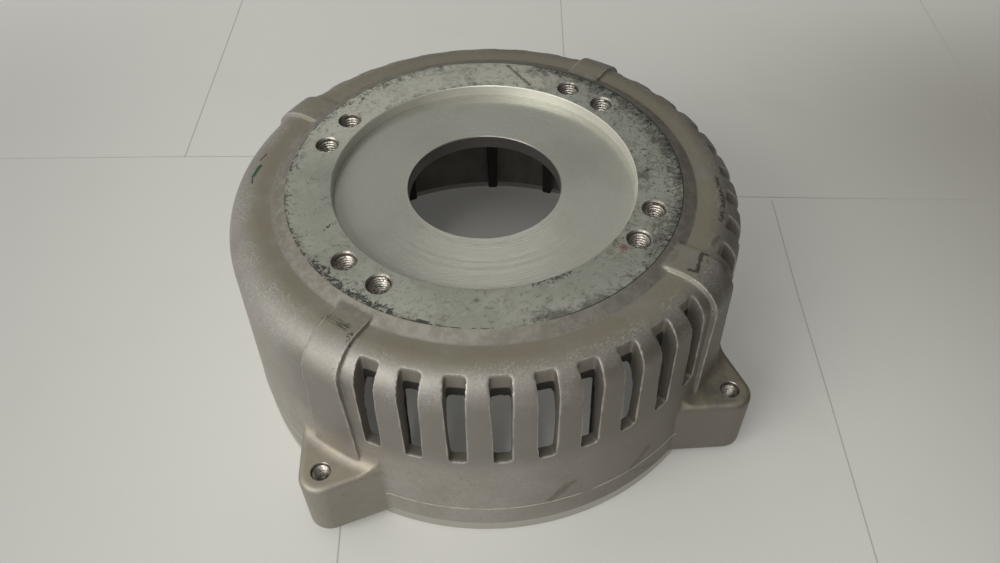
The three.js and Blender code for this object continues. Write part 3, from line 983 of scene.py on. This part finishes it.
def paint_casting(body):
    """Gives each face the finish of the work that made it: cast, faced, turned or drilled."""
    mesh = body.data
    x, y, z = (read_vectors(mesh.polygons, "center") / MM).T
    nz = read_vectors(mesh.polygons, "normal")[:, 2]
    r = np.hypot(x, y)
    near = 0.03
    slots = np.full(len(mesh.polygons), SKIN, np.int32)
    slots[(np.abs(z - HEIGHT) < near) & (nz > 0.99)] = RING
    slots[(np.abs(z - PILOT_FLOOR_Z) < near) & (nz > 0.99) & (r < PILOT_R + 0.1)] = DISC
    slots[(z > PILOT_FLOOR_Z) & (z < HEIGHT - near) & (r < PILOT_R + 0.6)] = WALL
    slots[(r < BORE_R + 0.7) & (z > UNDERSIDE_Z - 0.6) & (np.abs(nz) < 0.9)] = BORE
    slots[(r > SPIGOT_R - 0.6) & (r < SPIGOT_R + 0.1) & (z < FOOT_Z + near)] = BAND
    slots[(np.abs(z) < near) | ((np.abs(z - FOOT_Z) < near) & (nz < -0.99))] = BAND
    slots[(r > REGISTER_R - 2) & (r < REGISTER_R + 0.6) & (z < REGISTER_DEPTH + near)] = BAND
    for angles, pitch_radius, reach in ((RING_HOLE_ANGLES, RING_HOLE_PCR, RING_HOLE_R + 0.75),
                                        (QUARTERS, LUG_PCR, LUG_HOLE_R + 0.55)):
        for angle in angles:
            a = math.radians(angle)
            off = np.hypot(x - pitch_radius * math.cos(a), y - pitch_radius * math.sin(a))
            slots[(off < reach) & (np.abs(nz) < 0.97)] = HOLE
    mesh.materials.clear()
    for material in casting_finishes():
        mesh.materials.append(material)
    mesh.polygons.foreach_set("material_index", slots)


def store_bulge(body):
    """Keeps on each vertex how sharply the surface bulges there, so that outer edges can be painted
    lighter, as wear and painted highlight.
    """
    mesh = body.data
    count = len(mesh.vertices)
    places = read_vectors(mesh.vertices, "co")
    normals = read_vectors(mesh.vertices, "normal")
    ends = np.zeros(len(mesh.edges) * 2, np.int32)
    mesh.edges.foreach_get("vertices", ends)
    start, end = ends.reshape(-1, 2).T
    along = places[end] - places[start]
    along /= np.maximum(np.linalg.norm(along, axis=1, keepdims=True), 1e-9)
    neighbours = np.maximum(np.bincount(ends, minlength=count), 1)
    bulge = np.bincount(end, (along * normals[end]).sum(axis=1), count)
    bulge -= np.bincount(start, (along * normals[start]).sum(axis=1), count)
    bulge /= neighbours
    around = np.bincount(start, bulge[end], count) + np.bincount(end, bulge[start], count)
    around /= neighbours
    attribute = mesh.attributes.new("bulge", "FLOAT", "POINT")
    attribute.data.foreach_set("value", ((bulge + around) / 2).astype(np.float32))


def smooth_by_angle(obj, degrees):
    for other in bpy.context.selected_objects:
        other.select_set(False)
    bpy.context.view_layer.objects.active = obj
    obj.select_set(True)
    bpy.ops.object.shade_smooth_by_angle(angle=math.radians(degrees))


casting = machine(as_cast())
store_bulge(casting)
paint_casting(casting)
smooth_by_angle(casting, SHARP_EDGE)
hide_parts("bell_housing")
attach(casting, "root")

wire = wire_finish()
for coil in make_inserts():
    coil.data.materials.append(wire)
    smooth_by_angle(coil, SHARP_EDGE)
    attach(coil, "root")

# ---- floor ----

FLOOR_HALF = 2500
FLOOR_DROP = 0.4            # the floor lies just clear of the housing's foot
SEAM_Z = -0.3
SEAM_W = 0.6

# The paper is laid in sheets, and their edges show as thin strips of painted shadow.
SHEET_EDGES = (
    [(-95, 580), (-138, 374), (-176, 200)],
    [(-700, 320), (-304, 229), (-179, 201), (-100, 182)],
    [(190, 560), (136, 339), (112, 240)],
    [(100, 92), (183, 71), (236, 57), (349, 28), (800, -88)],
    [(-92, -80), (-100, -123), (-135, -300)],
    [(204, 62), (183, -22), (167, -92), (147, -176), (110, -320)],
    [(520, 520), (432, 265), (396, 116), (380, 40)],
)


def ribbon(name, points, width, height):
    """A flat strip on the floor along points given in millimetres."""
    vertices = []
    faces = []
    for (x0, y0), (x1, y1) in zip(points, points[1:]):
        long = math.hypot(x1 - x0, y1 - y0)
        sx, sy = (y0 - y1) / long * width / 2, (x1 - x0) / long * width / 2
        count = len(vertices)
        vertices += [(x0 + sx, y0 + sy, height), (x0 - sx, y0 - sy, height),
                     (x1 - sx, y1 - sy, height), (x1 + sx, y1 + sy, height)]
        faces.append((count, count + 1, count + 2, count + 3))
    return to_object(name, vertices, faces)


def make_floor():
    corners = [(-FLOOR_HALF, -FLOOR_HALF, 0), (FLOOR_HALF, -FLOOR_HALF, 0),
               (FLOOR_HALF, FLOOR_HALF, 0), (-FLOOR_HALF, FLOOR_HALF, 0)]
    floor = to_object("floor", corners, [(0, 1, 2, 3)])
    floor.location.z = -FLOOR_DROP * MM
    floor.data.materials.append(paper_finish())
    # painted shadow: flat strips on the floor stand for the shadows along the sheets' edges
    edge_material = Finish("sheet_edge_shadow").finish(PAPER_EDGE_SHADOW, 0.0, 0.8)
    for number, points in enumerate(SHEET_EDGES, 1):
        seam = ribbon(f"sheet_edge_shadow_{number}", points, SEAM_W, SEAM_Z)
        seam.data.materials.append(edge_material)


make_floor()

# ---- light ----

SKY_DIRECTION = Vector((-0.75, -0.05, 0.66)).normalized()   # where the soft light is strongest
SKY_COLOR = (1.0, 1.0, 0.95, 1)
SKY_SETTINGS = {"From Min": -0.35, "From Max": 1.0, "To Min": 0.015, "To Max": 0.56}

# Name, place, the point it faces, size, power and colour.
LIGHTS = (
    ("window", (-1.40, -0.85, 1.10), (0, 0, 0.05), (1.4, 1.1), 17, (1.0, 0.99, 0.96)),
    ("lamp", (-0.40, -1.15, 2.2), (0, 0, 0.1), (0.12, 0.6), 5, (1.0, 0.98, 0.94)),
    ("lamp_behind", (0.31, 1.64, 1.86), (0, 0, 0.1), (0.08, 0.4), 0.45, (1.0, 0.98, 0.92)),
)


def make_room():
    """Soft light from all round, strongest from high on the left and faint from the right."""
    world = bpy.data.worlds.new("room")
    world.use_nodes = True
    nodes = world.node_tree.nodes
    links = world.node_tree.links
    place = nodes.new("ShaderNodeTexCoord")
    facing = nodes.new("ShaderNodeVectorMath")
    facing.operation = "DOT_PRODUCT"
    facing.inputs[1].default_value = SKY_DIRECTION
    links.new(place.outputs["Generated"], facing.inputs[0])
    share = nodes.new("ShaderNodeMapRange")
    share.interpolation_type = "SMOOTHSTEP"
    for key, setting in SKY_SETTINGS.items():
        share.inputs[key].default_value = setting
    links.new(facing.outputs["Value"], share.inputs["Value"])
    background = nodes["Background"]
    background.inputs["Color"].default_value = SKY_COLOR
    links.new(share.outputs["Result"], background.inputs["Strength"])
    bpy.context.scene.world = world


def area_light(name, place, target, size, power, color):
    data = bpy.data.lights.new(name, "AREA")
    data.shape = "RECTANGLE"
    data.size, data.size_y = size
    data.energy = power
    data.color = color
    lamp = link(bpy.data.objects.new(name, data))
    lamp.location = place
    lamp.rotation_euler = (Vector(target) - Vector(place)).to_track_quat("-Z", "Y").to_euler()


make_room()
for light in LIGHTS:
    area_light(*light)

# ---- camera ----

CAMERA_PLACE = (-0.05874, -0.31157, 0.38847)
CAMERA_HEADING = 11.87      # degrees to the right of +Y
CAMERA_PITCH = 47.81        # degrees below the horizon
CAMERA_ROLL = 1.11
CAMERA_ANGLE = 60.09        # across the frame
SENSOR_W = 36


def make_camera():
    data = bpy.data.cameras.new("camera")
    data.sensor_width = SENSOR_W
    data.lens = SENSOR_W / 2 / math.tan(math.radians(CAMERA_ANGLE / 2))
    data.clip_start = 0.01
    camera = link(bpy.data.objects.new("camera", data))
    turn = Matrix.Rotation(math.radians(-CAMERA_HEADING), 4, "Z")
    tilt = Matrix.Rotation(math.radians(90 - CAMERA_PITCH), 4, "X")
    roll = Matrix.Rotation(math.radians(-CAMERA_ROLL), 4, "Z")
    camera.matrix_world = Matrix.Translation(CAMERA_PLACE) @ turn @ tilt @ roll
    bpy.context.scene.camera = camera


make_camera()
bpy.context.scene.view_settings.view_transform = "Standard"
